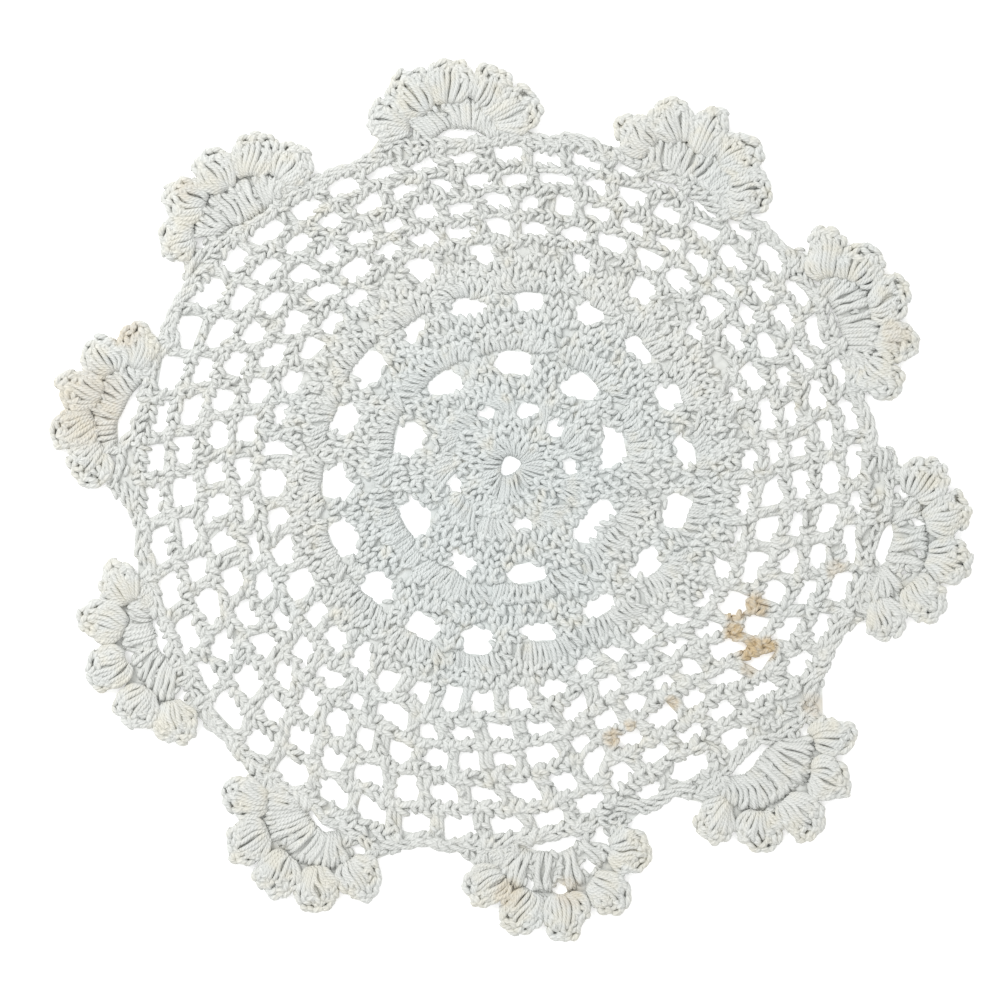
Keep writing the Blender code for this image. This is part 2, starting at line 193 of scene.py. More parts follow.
class Finish:
    """A new material and the nodes added to it."""

    def __init__(self, name):
        self.material = bpy.data.materials.new(name)
        self.material.use_nodes = True
        self.tree = self.material.node_tree
        self.shader = self.tree.nodes["Principled BSDF"]

    def feed(self, socket, value):
        if isinstance(value, Wire):
            self.tree.links.new(value.socket, socket)
        else:
            socket.default_value = value

    def node(self, kind, settings=(), sockets=(), output=0):
        made = self.tree.nodes.new("ShaderNode" + kind)
        for name, value in dict(settings).items():
            setattr(made, name, value)
        for name, value in dict(sockets).items():
            self.feed(made.inputs[name], value)
        return Wire(self, made.outputs[output])

    def blend(self, share, first, second):
        """First colour where share is 0, second where it is 1."""
        return self.node("Mix", {"data_type": "RGBA"}, {0: share, 6: first, 7: second}, 2)

    def split(self, place):
        """The three parts of a vector."""
        made = self.node("SeparateXYZ", (), {0: place}).socket.node
        return [Wire(self, output) for output in made.outputs]

    def soft_step(self, value, start, stop):
        """0 before start, 1 after stop and a smooth rise between."""
        sockets = {0: value, 1: start, 2: stop}
        return self.node("MapRange", {"interpolation_type": "SMOOTHSTEP"}, sockets)

    def noise(self, place, scale, detail=2.0):
        return self.node("TexNoise", (), {"Vector": place, "Scale": scale, "Detail": detail})


def cotton(name, cream=0.0, knotted=False):
    """Twisted cotton yarn. The plies are a sine wave that climbs round the strand, and
    tone, mottling, stains, painted shade in the grooves between plies and painted
    shade where the yarn lies low between strands are laid over them.
    cream is how much of it has yellowed; knotted cotton shows small knots, not plies,
    with painted shade between the knots.
    """
    finish = Finish(name)
    place = finish.node("TexCoord", output="Object")
    flat = finish.node("VectorMath", {"operation": "MULTIPLY"}, {0: place, 1: (1.0, 1.0, 0.0)})
    turns, along, _ = finish.split(finish.node("UVMap", {"uv_map": "yarn"}))
    height = finish.split(place)[2]
    tone = finish.node("Attribute", {"attribute_name": "tone"}, (), "Fac")

    if knotted:
        ply = 1.0 - finish.node("TexVoronoi", (), {"Vector": place, "Scale": KNOT_SCALE}, "Distance")
    else:
        ply = ((turns * PLIES + along * (PLIES / PLY_TURN)) * math.tau).sine() * 0.5 + 0.5
    fibre = finish.noise(place, FIBRE_SCALE, 3.0)
    mottle = finish.noise(place, MOTTLE_SCALE)
    patch = finish.noise(place, PATCH_SCALE)

    from_middle = finish.node("VectorMath", {"operation": "LENGTH"}, {0: place}, 1)
    outward = finish.soft_step(from_middle, COOL_WITHIN, PLAIN_BEYOND) * 0.7
    outward = outward + (mottle - 0.5) * 1.4 + 0.15
    colour = finish.blend(finish.soft_step(outward, 0.0, 1.0), YARN_COOL, YARN_PLAIN)
    colour = finish.blend(finish.soft_step(patch + cream, 0.5, 0.9) * 0.8, colour, YARN_CREAM)
    # Painted shade: the colour darkens where the yarn lies low, as shade between strands.
    ground = (1.0 - finish.soft_step(height, 0.4 * MM, 1.9 * MM)) * LOW_SHADE
    # Painted shade in the grooves between plies, or between knots, with darkening by fibre noise and by
    # each strand's own tone.
    groove_shade_fibre_and_tone = (1.0 - ply) * PLY_SHADE + (1.0 - fibre) * FIBRE_SHADE + tone * TONE_SHADE
    stain = None
    edge = finish.noise(place, STAIN_EDGE_SCALE) * (2.0 * STAIN_EDGE) - STAIN_EDGE
    for x, y, radius, strength in STAINS:
        middle = (x * MM, y * MM, 0.0)
        away = finish.node("VectorMath", {"operation": "DISTANCE"}, {0: flat, 1: middle}, "Value")
        mark = (1.0 - finish.soft_step(away + edge, 0.45 * radius * MM, 1.1 * radius * MM)) * strength
        stain = mark if stain is None else stain.largest(mark)
    stain = stain * (finish.noise(place, STAIN_GRAIN_SCALE) * 1.5 + 0.2)
    colour = finish.blend(stain.least(1.0), colour, STAIN_TAN)
    multiply = {"data_type": "RGBA", "blend_type": "MULTIPLY"}
    dark = finish.node("Mix", multiply, {0: ground + groove_shade_fibre_and_tone, 6: colour, 7: YARN_SHADE}, 2)

    finish.feed(finish.shader.inputs["Base Color"], dark)
    finish.feed(finish.shader.inputs["Roughness"], 0.9 - ply * 0.06)
    finish.shader.inputs["Specular IOR Level"].default_value = 0.25
    finish.shader.inputs["Sheen Weight"].default_value = 0.08
    finish.shader.inputs["Sheen Roughness"].default_value = 0.6
    relief = ply * (KNOT_RELIEF if knotted else PLY_RELIEF) + fibre * FIBRE_RELIEF
    bump = finish.node("Bump", (), {"Strength": 1.0, "Distance": 1.0, "Height": relief})
    finish.feed(finish.shader.inputs["Normal"], bump)
    return finish.material


yarn = cotton("washed_cotton")

# --------------------
# Ground of the lace. Under the plump strands the stitches knit together into a
# thin cloth: the outline and openings of the doily's solid, drawn in a little
# from every edge, so that only yarn shows along the openings.
GROUND_THICKNESS = 1.3 * MM
GROUND_DRAWN_IN = 0.9 * MM
GROUND_CORNER = 2.2
SAME_POINT = 0.005 * MM
WANDER = 0.6 * MM
WANDER_WAVES = 22
WANDER_LONGEST = 26.0 * MM
WANDER_SHORTEST = 7.5 * MM
SPOTS_AT_ONCE = 1500


def wandered(points):
    """Places moved as hand work wanders: the sum of slow sine waves that run in all
    directions over the cloth, each with its own phase, pushes them along and across.
    """
    waves = np.random.default_rng(1)
    heading = waves.uniform(0.0, math.tau, WANDER_WAVES)
    pace = math.tau / waves.uniform(WANDER_SHORTEST, WANDER_LONGEST, WANDER_WAVES)
    wave = pace[:, None] * np.stack([np.cos(heading), np.sin(heading)], axis=-1)
    phase = points[..., :2] @ wave.T
    push = np.sqrt(2.0 / WANDER_WAVES) * WANDER
    moved = np.array(points)
    for axis in range(2):
        begin = waves.uniform(0.0, math.tau, WANDER_WAVES)
        moved[..., axis] += push * np.sin(phase + begin).sum(axis=-1)
    return moved


def edge_loops(source):
    """Edges of the outline and openings on the underside of a flat solid, the lower
    sides of its walls. Each corner moves into the cloth, square to both its walls.
    """
    points = np.empty(len(source.vertices) * 3)
    source.vertices.foreach_get("co", points)
    points = points.reshape(-1, 3)
    source.calc_loop_triangles()
    corners = np.empty(len(source.loop_triangles) * 3, dtype=np.int32)
    source.loop_triangles.foreach_get("vertices", corners)
    cells = np.round(points / SAME_POINT)
    _, first, merged = np.unique(cells, axis=0, return_index=True, return_inverse=True)
    points = points[first]
    triangles = merged.reshape(-1)[corners].reshape(-1, 3)
    low = points[:, 2] < SAME_POINT
    edges = np.concatenate([triangles[:, [0, 1]], triangles[:, [1, 2]], triangles[:, [2, 0]]])
    others = np.concatenate([triangles[:, 2], triangles[:, 0], triangles[:, 1]])
    edges = edges[low[edges].all(axis=1) & ~low[others]]
    run = points[edges[:, 1]] - points[edges[:, 0]]
    outward = np.stack([run[:, 1], -run[:, 0]], axis=-1)
    outward /= np.linalg.norm(outward, axis=1, keepdims=True)
    total = np.zeros((len(points), 2))
    np.add.at(total, edges[:, 0], outward)
    np.add.at(total, edges[:, 1], outward)
    square = np.maximum((total ** 2).sum(axis=1, keepdims=True), 4.0 / GROUND_CORNER ** 2)
    points[:, :2] -= GROUND_DRAWN_IN * 2.0 * total / square
    points[:, 2] = 0.0
    return points, edges


def clear_of_edges(spots, margin):
    """Which of these spots lie on the cloth, at least a margin from every edge: a
    line from each toward +X meets the edges an odd number of times, and the nearest
    point of every edge is farther than the margin.
    """
    start, stop = edge_points[edge_pairs[:, 0], :2], edge_points[edge_pairs[:, 1], :2]
    run = stop - start
    steep = np.where(np.abs(run[:, 1]) > 0.0, run[:, 1], 1.0)
    clear = []
    for some in np.array_split(spots, 1 + len(spots) // SPOTS_AT_ONCE):
        offset = some[:, None, :] - start[None]
        crossing = (start[None, :, 1] > some[:, None, 1]) != (stop[None, :, 1] > some[:, None, 1])
        right = offset[..., 0] < offset[..., 1] * (run[:, 0] / steep)
        share = np.clip((offset * run).sum(axis=-1) / (run ** 2).sum(axis=-1), 0.0, 1.0)
        away = np.linalg.norm(offset - share[..., None] * run, axis=-1).min(axis=1)
        clear.append(((crossing & right).sum(axis=1) % 2 == 1) & (away > margin))
    return np.concatenate(clear)


def flat_cloth(name, points, edges, thickness):
    """Closed sheet between the loops of edges, from a filled flat curve."""
    wire = bpy.data.meshes.new(name)
    wire.from_pydata(points.tolist(), edges.tolist(), [])
    guide = bpy.data.objects.new(name, wire)
    bpy.context.scene.collection.objects.link(guide)
    bpy.ops.object.select_all(action="DESELECT")
    bpy.context.view_layer.objects.active = guide
    guide.select_set(True)
    bpy.ops.object.convert(target="CURVE")
    guide.data.dimensions = "2D"
    guide.data.fill_mode = "BOTH"
    guide.data.extrude = 0.5 * thickness
    bpy.context.view_layer.update()
    mesh = bpy.data.meshes.new_from_object(guide.evaluated_get(bpy.context.evaluated_depsgraph_get()))
    bpy.data.objects.remove(guide)
    work = bmesh.new()
    work.from_mesh(mesh)
    bmesh.ops.remove_doubles(work, verts=work.verts, dist=SAME_POINT)
    bmesh.ops.translate(work, verts=work.verts, vec=(0.0, 0.0, 0.5 * thickness))
    bmesh.ops.recalc_face_normals(work, faces=work.faces)
    work.to_mesh(mesh)
    work.free()
    mesh.name = name
    return mesh


def shown(name, mesh, finish):
    """Piece that stands for the doily's solid and rides with it."""
    mesh.materials.append(finish)
    piece = bpy.data.objects.new(name, mesh)
    bpy.context.scene.collection.objects.link(piece)
    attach(piece, "root")
    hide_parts("doily")
    return piece


edge_points, edge_pairs = edge_loops(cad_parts["doily"].data)
cloth_mesh = flat_cloth("lace_ground", wandered(edge_points), edge_pairs, GROUND_THICKNESS)
# The sheet is the back of the stitches and also shows as the shade between strands: lying low, it takes
# the cotton's painted shade, with painted shade between its knots.
ground = shown("lace_ground", cloth_mesh, cotton("knotted_cotton", knotted=True))

# --------------------
# Rosette. Twenty-four double crochets drawn into a small ring, with four rounds
# of stitch tops about them. The ways to lay and skin a strand stand here too.
ROSETTE_X = 0.94 * MM
ROSETTE_Y = 10.07 * MM
EDGE_RADIUS = 122.5 * MM
SHIFT = 0.068
SHIFT_TOWARD = 245.0
STRETCH = 0.027
STRETCH_TOWARD = 16.0
CORNERS = 0.011
CORNERS_TOWARD = 8.0
RIPPLE = 0.012
RIPPLE_TOWARD = 60.0
TWIST_BACK = 9.0
TWIST_AT = 265.0
TWIST_WIDTH = 32.0
YARN_SIDES = 6
ROSETTE_POSTS = 24
RING_RADIUS = 3.4 * MM
SPOKE_REACH = 11.0 * MM
SPOKE_LEAN = 5.0
ROSETTE_ROUNDS = (
    # stitches  radius
    (23, 10.9 * MM),
    (27, 13.1 * MM),
    (32, 15.3 * MM),
    (36, 17.4 * MM),
)


def apart(degrees, other):
    """Turn from the other angle to this one, from -180 to 180."""
    return (degrees - other + 180.0) % 360.0 - 180.0


def nearest(degrees, centres):
    """Size of the turn from each of these angles to the nearest of the centres."""
    return np.abs(apart(degrees[:, None], centres[None, :])).min(axis=1)


def left_of(ways):
    """Flat unit vectors a quarter turn to the left of these."""
    return np.stack([-ways[:, 1], ways[:, 0]], axis=-1)


def pull(radius, degrees):
    """Stretch of the cloth away from the rosette, as a share: a few slow waves."""
    reach = radius / EDGE_RADIUS
    scale = 1.0 + SHIFT * reach * np.cos(np.radians(degrees - SHIFT_TOWARD))
    scale = scale + STRETCH * np.cos(np.radians(2.0 * (degrees - STRETCH_TOWARD)))
    scale = scale + CORNERS * np.cos(np.radians(3.0 * (degrees - CORNERS_TOWARD)))
    return scale + RIPPLE * reach * np.cos(np.radians(4.0 * (degrees - RIPPLE_TOWARD)))


def cloth(radius, degrees):
    """Where a place in the even round pattern lies in the pulled cloth: its distance
    is stretched, and its angle turns back a little near the lower edge.
    """
    radius, degrees = np.broadcast_arrays(np.asarray(radius, float), np.asarray(degrees, float))
    away = apart(degrees, TWIST_AT)
    twist = TWIST_BACK * (1.0 - radius / EDGE_RADIUS) * np.exp(-((away / TWIST_WIDTH) ** 2))
    angle = np.radians(degrees - twist)
    stretched = radius * pull(radius, degrees)
    x, y = ROSETTE_X + stretched * np.cos(angle), ROSETTE_Y + stretched * np.sin(angle)
    return np.stack([x, y], axis=-1)


def local_axes(start, end):
    """Length, unit vector from start to end, and unit vector to its left."""
    step = end - start
    length = np.linalg.norm(step, axis=-1, keepdims=True)
    along = step / length
    return length, along, left_of(along)


def laid(start, along, left, forward, sideways, height):
    """Path in the frame: forward and sideways distances from start, at a height."""
    flat = start[:, None, :] + forward[..., None] * along[:, None, :]
    flat = flat + sideways[..., None] * left[:, None, :]
    return np.concatenate([flat, height[..., None]], axis=-1)


def posts(foot, top, abreast, spacing, thickness, lift, draw, low=0.5):
    """Uprights of double crochets: strands side by side from foot to top, each bent
    and out of line a little. In two of three posts the strands slant one place over
    and the outermost comes back across the rest. Their height is an arch that starts
    at the low share of the lift. spacing and thickness are (at the foot, at the top).
    """
    count = len(foot)
    share = np.linspace(0.0, 1.0, 7)[None, :]
    ease = share * share * (3.0 - 2.0 * share)
    arch = np.sin(math.pi * share)
    length, along, left = local_axes(foot, top)
    ends = 1.0 - 0.3 * (2.0 * share - 1.0) ** 6
    radius = 0.5 * (thickness[0] + (thickness[1] - thickness[0]) * share) * ends
    over = draw.choice([-1.0, 0.0, 1.0], (count, 1))
    strands = []
    for place in range(abreast):
        middle = 0.5 * (abreast - 1)
        slot = place - middle + draw.uniform(-0.15, 0.15, (count, 1))
        end_slot = (place + over) % abreast - middle + draw.uniform(-0.15, 0.15, (count, 1))
        bend = draw.uniform(-0.35, 0.35, (2, count, 1)) * MM
        sideways = spacing[0] * slot * (1.0 - ease) + spacing[1] * end_slot * ease
        sideways = sideways + bend[0] * arch + 0.5 * bend[1] * np.sin(math.tau * share)
        across = np.abs(end_slot - slot) > 0.5 * abreast
        over_rest = (draw.uniform(-0.2, 0.2, (count, 1)) + 0.55 * across) * MM * arch
        plump = radius * draw.uniform(0.9, 1.12, (count, 1))
        height = np.maximum(lift * (low + (1.0 - low) * arch ** 0.5) + over_rest, plump)
        strands.append((laid(foot, along, left, length * share, sideways, height), plump))
    return strands


def loops(start, end, width, thickness, lift, draw, reach=1.0, lean=0.6 * MM):
    """Loops of yarn that rise at start, open into two arms and close over end, or at
    the reach, a share of the way: a teardrop whose height falls from its neck to its
    head. Each leans its own way.
    """
    count = len(start)
    length, along, left = local_axes(start, end)
    turn = np.linspace(0.0, math.tau, 10)[None, :]
    neck = np.cos(turn)
    forward = length * (0.5 * (reach - 0.1) - 0.5 * (reach + 0.1) * neck)
    forward = forward * draw.uniform(0.88, 1.14, (count, 1))
    half = 0.5 * (width - thickness) * draw.uniform(0.85, 1.15, (count, 1))
    slant = draw.uniform(-lean, lean, (count, 1))
    sideways = half * np.sin(turn) * (1.0 - 0.3 * neck) + slant * (forward / length - 0.4)
    dip = 1.1 * (np.abs(turn - math.pi) > 3.0)
    height = lift + 0.5 * thickness * (0.7 * neck - dip) + draw.uniform(-0.25, 0.25, (count, 1)) * MM
    height = height + draw.uniform(-0.3, 0.3, (count, 1)) * MM * np.sin(turn)
    radius = 0.5 * thickness * draw.uniform(0.9, 1.12, (count, 1)) * np.ones_like(forward)
    return [(laid(start, along, left, forward, sideways, np.maximum(height, radius)), radius)]


def wraps(foot, top, reach_out, thickness, lift, draw):
    """Yarn thrown slantwise over the uprights, low at both of its ends."""
    count = len(foot)
    length, along, left = local_axes(foot, top)
    turn = np.linspace(-1.0, 1.0, 7)[None, :]
    middle = draw.uniform(0.3, 0.7, (count, 1)) * length
    lean = draw.uniform(0.6, 1.7, (count, 1)) * draw.choice([1.0, 1.0, -1.0], (count, 1)) * MM
    sideways = reach_out * turn * draw.uniform(0.8, 1.15, (count, 1))
    height = lift + 0.45 * thickness * (1.0 - 1.9 * turn ** 2) * np.ones_like(middle)
    radius = 0.5 * thickness * (1.0 - 0.25 * turn ** 6) * draw.uniform(0.88, 1.1, (count, 1))
    return [(laid(foot, along, left, middle + lean * turn, sideways, np.maximum(height, radius)), radius)]


def turned(ways, spread, draw, by=0.0):
    """Flat unit vectors turned by an angle and a random one within the spread."""
    angle = np.radians(by + draw.uniform(-spread, spread, len(ways)))
    x = ways[:, 0] * np.cos(angle) - ways[:, 1] * np.sin(angle)
    y = ways[:, 0] * np.sin(angle) + ways[:, 1] * np.cos(angle)
    return np.stack([x, y], axis=-1)


def tufts(spots, ways, length, thickness, lift, draw):
    """Short plump stretches of yarn that show between the stitches, both ends low."""
    count = len(spots)
    share = np.linspace(-1.0, 1.0, 5)[None, :]
    forward = 0.5 * length * share * draw.uniform(0.8, 1.2, (count, 1))
    sideways = draw.uniform(-0.7, 0.7, (count, 1)) * MM * (1.0 - share ** 2)
    radius = 0.5 * thickness * (1.0 - 0.35 * share ** 4) * draw.uniform(0.85, 1.15, (count, 1))
    height = lift * (1.0 - 0.45 * share ** 2) + draw.uniform(-0.2, 0.2, (count, 1)) * MM
    return [(laid(spots, ways, left_of(ways), forward, sideways, np.maximum(height, radius)), radius)]


def stitch_tops(at, radius, thickness, draw):
    """Tops of stitches in a round, at these angles and radii: pairs of short plump
    strands that close outward like arrowheads, each a little out of place, left out
    where they would cross an opening.
    """
    radius = radius + draw.uniform(-0.4, 0.4, len(at)) * MM
    at = at + np.degrees(draw.uniform(-0.4, 0.4, len(at)) * MM / radius)
    spots = cloth(radius, at)
    clear = clear_of_edges(spots, 0.3 * MM)
    spots = spots[clear]
    way = local_axes(spots, cloth(radius + 1.0 * MM, at)[clear])[1]
    strands = []
    for side in (-1.0, 1.0):
        arm = spots + 0.85 * side * MM * left_of(way)
        arm = arm + draw.uniform(-0.6, 0.6, (len(spots), 1)) * MM * way
        rise = 1.9 * MM + draw.uniform(-0.3, 0.3, (len(spots), 1)) * MM
        strands += tufts(arm, turned(way, 20.0, draw, -24.0 * side), 3.6 * MM, thickness, rise, draw)
    return strands


def fan_posts(feet, tops, spacing, thickness, lift, draw):
    """Uprights in a fan, two strands each, those that stay on the cloth."""
    return kept(posts(feet, tops, 2, spacing, thickness, lift, draw, low=0.7))


def kept(strands):
    """Those of the strands that lie on the cloth for their whole length but its ends."""
    whole = []
    for paths, radius in strands:
        inside = clear_of_edges(paths[:, 1:-1, :2].reshape(-1, 2), 0.0)
        inside = inside.reshape(len(paths), -1).all(axis=1)
        whole.append((paths[inside], radius[inside]))
    return whole


def swept(paths, radius):
    """Skins of strands that share a number of path points. At each point a ring of
    YARN_SIDES corners stands square to the path, rings are joined by quads, and a
    flat face closes each end. Also each corner's turn round and length along.
    """
    count, steps, _ = paths.shape
    way = np.gradient(paths, axis=1)
    way /= np.linalg.norm(way, axis=-1, keepdims=True)
    side = np.cross(np.array([0.0, 0.0, 1.0]), way)
    side /= np.linalg.norm(side, axis=-1, keepdims=True)
    over = np.cross(way, side)
    angle = math.tau * np.arange(YARN_SIDES) / YARN_SIDES
    ring = np.cos(angle)[:, None] * side[:, :, None, :]
    ring = ring + np.sin(angle)[:, None] * over[:, :, None, :]
    points = paths[:, :, None, :] + radius[:, :, None, None] * ring
    travel = np.zeros((count, steps))
    travel[:, 1:] = np.cumsum(np.linalg.norm(np.diff(paths, axis=1), axis=-1), axis=1)

    index = np.arange(count * steps * YARN_SIDES).reshape(count, steps, YARN_SIDES)
    onward = np.roll(index, -1, axis=2)
    quads = np.stack([index[:, :-1], onward[:, :-1], onward[:, 1:], index[:, 1:]], axis=-1)
    share = np.arange(YARN_SIDES) / YARN_SIDES
    turn = np.stack([share, share + 1.0 / YARN_SIDES, share + 1.0 / YARN_SIDES, share], axis=-1)
    turn = np.broadcast_to(turn, quads.shape)
    before = np.broadcast_to(travel[:, :-1, None], index[:, :-1].shape)
    after = np.broadcast_to(travel[:, 1:, None], index[:, :-1].shape)
    run = np.stack([before, before, after, after], axis=-1)
    ends = np.concatenate([index[:, 0, ::-1], index[:, -1]])
    places = np.stack([turn, run], axis=-1).reshape(-1, 2)
    return points.reshape(-1, 3), quads.reshape(-1, 4), places, ends


def yarn_piece(name, strands, draw, finish):
    """One object of all these strands, with a yarn map and a tone for each strand."""
    points, corners, totals, yarn_map, tones = [], [], [], [], []
    base = 0
    worked.extend(paths[..., :2].reshape(-1, 2) for paths, radius in strands)
    for paths, radius in strands:
        paths = wandered(paths)
        some, quads, places, ends = swept(paths, radius)
        corners_each = (paths.shape[1] - 1) * YARN_SIDES * 4
        places[:, 1] += np.repeat(draw.uniform(0.0, PLY_TURN, len(paths)), corners_each)
        points.append(some)
        corners += [quads.reshape(-1) + base, ends.reshape(-1) + base]
        totals += [np.full(len(quads), 4), np.full(len(ends), YARN_SIDES)]
        yarn_map += [places, np.zeros((ends.size, 2))]
        tones.append(np.repeat(draw.random(len(paths)), paths.shape[1] * YARN_SIDES))
        base += len(some)
    points = np.concatenate(points)
    corners = np.concatenate(corners)
    totals = np.concatenate(totals)
    mesh = bpy.data.meshes.new(name)
    mesh.vertices.add(len(points))
    mesh.vertices.foreach_set("co", points.reshape(-1))
    mesh.loops.add(len(corners))
    mesh.loops.foreach_set("vertex_index", corners)
    mesh.polygons.add(len(totals))
    mesh.polygons.foreach_set("loop_start", np.concatenate([[0], np.cumsum(totals)[:-1]]))
    mesh.update(calc_edges=True)
    mesh.shade_smooth()
    layer = mesh.uv_layers.new(name="yarn")
    layer.data.foreach_set("uv", np.concatenate(yarn_map).reshape(-1))
    tone = mesh.attributes.new("tone", "FLOAT", "POINT")
    tone.data.foreach_set("value", np.concatenate(tones))
    return shown(name, mesh, finish)


worked = []


def around(count, first=0.0):
    """Evenly spaced angles round the doily, in degrees."""
    return first + 360.0 * np.arange(count) / count


draw = np.random.default_rng(3)
spokes = around(ROSETTE_POSTS) + draw.uniform(-1.5, 1.5, ROSETTE_POSTS)
foot = cloth(RING_RADIUS, spokes)
top = cloth(SPOKE_REACH, spokes + SPOKE_LEAN)
strands = posts(foot, top, 2, (0.45 * MM, 1.35 * MM), (0.85 * MM, 1.6 * MM), 1.75 * MM, draw, low=0.8)
for stitches, radius in ROSETTE_ROUNDS:
    at = around(stitches, draw.uniform(0.0, 14.0))
    strands += stitch_tops(at, radius, 1.9 * MM, draw)
rosette = yarn_piece("rosette", strands, draw, yarn)

# --------------------
# Shell ring. Nine fans of double crochet stand round the rosette, lean a little
# round, and carry nine chain arches, each over the notch between two fans.
NOTCHES = np.array((
    # foot  top
    (0.0, 10.0),
    (40.0, 49.0),
    (73.0, 88.0),
    (117.0, 129.0),
    (160.0, 166.0),
    (200.0, 208.0),
    (235.0, 247.0),
    (284.0, 286.0),
    (320.0, 327.0),
))
INNER_ARCHES = np.array((
    # angle  outer edge in mm
    (10.0, 37.4),
    (49.0, 39.6),
    (88.0, 39.1),
    (129.0, 39.0),
    (166.0, 38.0),
    (208.0, 38.4),
    (247.0, 38.1),
    (284.0, 38.9),
    (327.0, 36.7),
)) * (1.0, MM)
FAN_STITCHES = 9
FAN_TOP_ROUNDS = np.array([25.0, 27.6, 30.2, 32.8, 35.4, 37.9]) * MM
NOTCHED_WITHIN = 29.0 * MM
TOP_PITCH = 3.3 * MM


def fans(centres, stitches, feet_share, tops_share):
    """Angles of the feet and the tops of stitches in fans, one about each centre. A
    fan takes these shares of the way to the middle between it and its neighbours.
    Also how near each stitch is to the crown of its fan, from 0 to 1.
    """
    centres = np.asarray(centres, float)
    after = 0.5 * ((np.roll(centres, -1) - centres) % 360.0)[:, None]
    before = 0.5 * ((centres - np.roll(centres, 1)) % 360.0)[:, None]
    share = np.linspace(-1.0, 1.0, stitches)[None, :]
    reach = share * np.where(share < 0.0, before, after)
    crown = np.broadcast_to(1.0 - share ** 2, reach.shape)
    feet = centres[:, None] + feet_share * reach
    tops = centres[:, None] + tops_share * reach
    return feet.reshape(-1), tops.reshape(-1), crown.reshape(-1)


def outer_edge(at, arches):
    """Radius of the arches' outer edge at these angles, carried on between arches."""
    return np.interp(at, arches[:, 0], arches[:, 1], period=360.0)


def close_round(radius, draw):
    """Angles of the stitches in a close round of this radius."""
    return around(int(math.tau * radius / TOP_PITCH), draw.uniform(0.0, 9.0))


draw = np.random.default_rng(5)
middles = NOTCHES + 0.5 * ((np.roll(NOTCHES, -1, axis=0) - NOTCHES) % 360.0)
feet_at, _, crown = fans(middles[:, 0], FAN_STITCHES, 0.5, 1.0)
_, tops_at, _ = fans(middles[:, 1], FAN_STITCHES, 1.0, 0.92)
feet, tops = cloth(17.6 * MM, feet_at), cloth(24.6 * MM + 1.8 * MM * crown, tops_at)
strands = fan_posts(feet, tops, (0.55 * MM, 1.3 * MM), (1.2 * MM, 1.6 * MM), 1.7 * MM, draw)
for radius in FAN_TOP_ROUNDS:
    at = close_round(radius, draw)
    if radius < NOTCHED_WITHIN:
        at = at[nearest(at, NOTCHES[:, 1]) > 3.5]
    strands += stitch_tops(at, radius, 2.0 * MM, draw)
shell_ring = yarn_piece("shell_ring", strands, draw, yarn)

# --------------------
# Dense band. A wide fan of long double crochets is worked over each inner arch,
# and rounds of close stitches over the fans.
OUTER_ARCHES = np.array((
    # angle  outer edge in mm
    (5.0, 59.5),
    (24.0, 59.9),
    (42.5, 60.3),
    (63.0, 62.6),
    (84.0, 60.6),
    (105.0, 60.5),
    (125.0, 60.4),
    (145.0, 60.7),
    (164.5, 60.0),
    (185.0, 60.5),
    (203.0, 61.0),
    (223.0, 60.5),
    (244.0, 61.4),
    (264.0, 61.0),
    (283.5, 58.5),
    (303.5, 57.7),
    (325.0, 59.1),
    (345.0, 59.8),
)) * (1.0, MM)
BAND_STITCHES = 14
BAND_ROUNDS = np.array([45.6, 48.3, 51.0, 53.7, 56.4, 58.9]) * MM
VALLEYS_WITHIN = 53.0 * MM

draw = np.random.default_rng(7)
feet_at, tops_at, crown = fans(INNER_ARCHES[:, 0], BAND_STITCHES, 0.76, 0.96)
feet = cloth(outer_edge(feet_at, INNER_ARCHES) + draw.uniform(0.4, 1.3, len(feet_at)) * MM, feet_at)
tops = cloth(45.4 * MM + 1.6 * MM * crown, tops_at)
strands = fan_posts(feet, tops, (1.0 * MM, 1.35 * MM), (1.4 * MM, 1.7 * MM), 1.65 * MM, draw)
valleys = INNER_ARCHES[:, 0]
valleys = valleys + 0.5 * ((np.roll(valleys, -1) - valleys) % 360.0)
for radius in BAND_ROUNDS:
    at = close_round(radius, draw)
    if radius < VALLEYS_WITHIN:
        at = at[nearest(at, valleys) > 1.8]
    strands += stitch_tops(at, radius, 2.0 * MM, draw)
dense_band = yarn_piece("dense_band", strands, draw, yarn)

# --------------------
# Arches and outer shells. Eighteen arches stand on the band on short piers, and
# a shell of ten double crochets is worked over each.
SHELL_STITCHES = 10
SHELL_ROUNDS = np.array([60.4, 65.6, 68.1, 70.6, 73.0]) * MM
PIERS_WITHIN = 62.0 * MM
SHELL_LEAN = 1.2
SHELL_CROWN_RISE = 1.5 * MM


def crowned(at):
    """How near these angles are to the crown of an outer shell, from 0 to 1."""
    return 1.0 - np.minimum(1.0, nearest(at, OUTER_ARCHES[:, 0]) / 10.0) ** 2


draw = np.random.default_rng(11)
feet_at, tops_at, crown = fans(OUTER_ARCHES[:, 0], SHELL_STITCHES, 0.72, 0.94)
feet = cloth(outer_edge(feet_at, OUTER_ARCHES) + draw.uniform(0.3, 1.2, len(feet_at)) * MM, feet_at + 0.4)
tops = cloth(65.4 * MM + 1.6 * MM * crown, tops_at + SHELL_LEAN)
strands = fan_posts(feet, tops, (0.95 * MM, 1.3 * MM), (1.4 * MM, 1.65 * MM), 1.7 * MM, draw)
for radius in SHELL_ROUNDS:
    at = close_round(radius, draw)
    if radius < PIERS_WITHIN:
        at = at[crowned(at) < 0.3]
    else:
        at = at[crowned(at - SHELL_LEAN) > 0.1]
    strands += stitch_tops(at, radius + SHELL_CROWN_RISE * crowned(at - SHELL_LEAN), 2.0 * MM, draw)
outer_shells = yarn_piece("outer_shells", strands, draw, yarn)

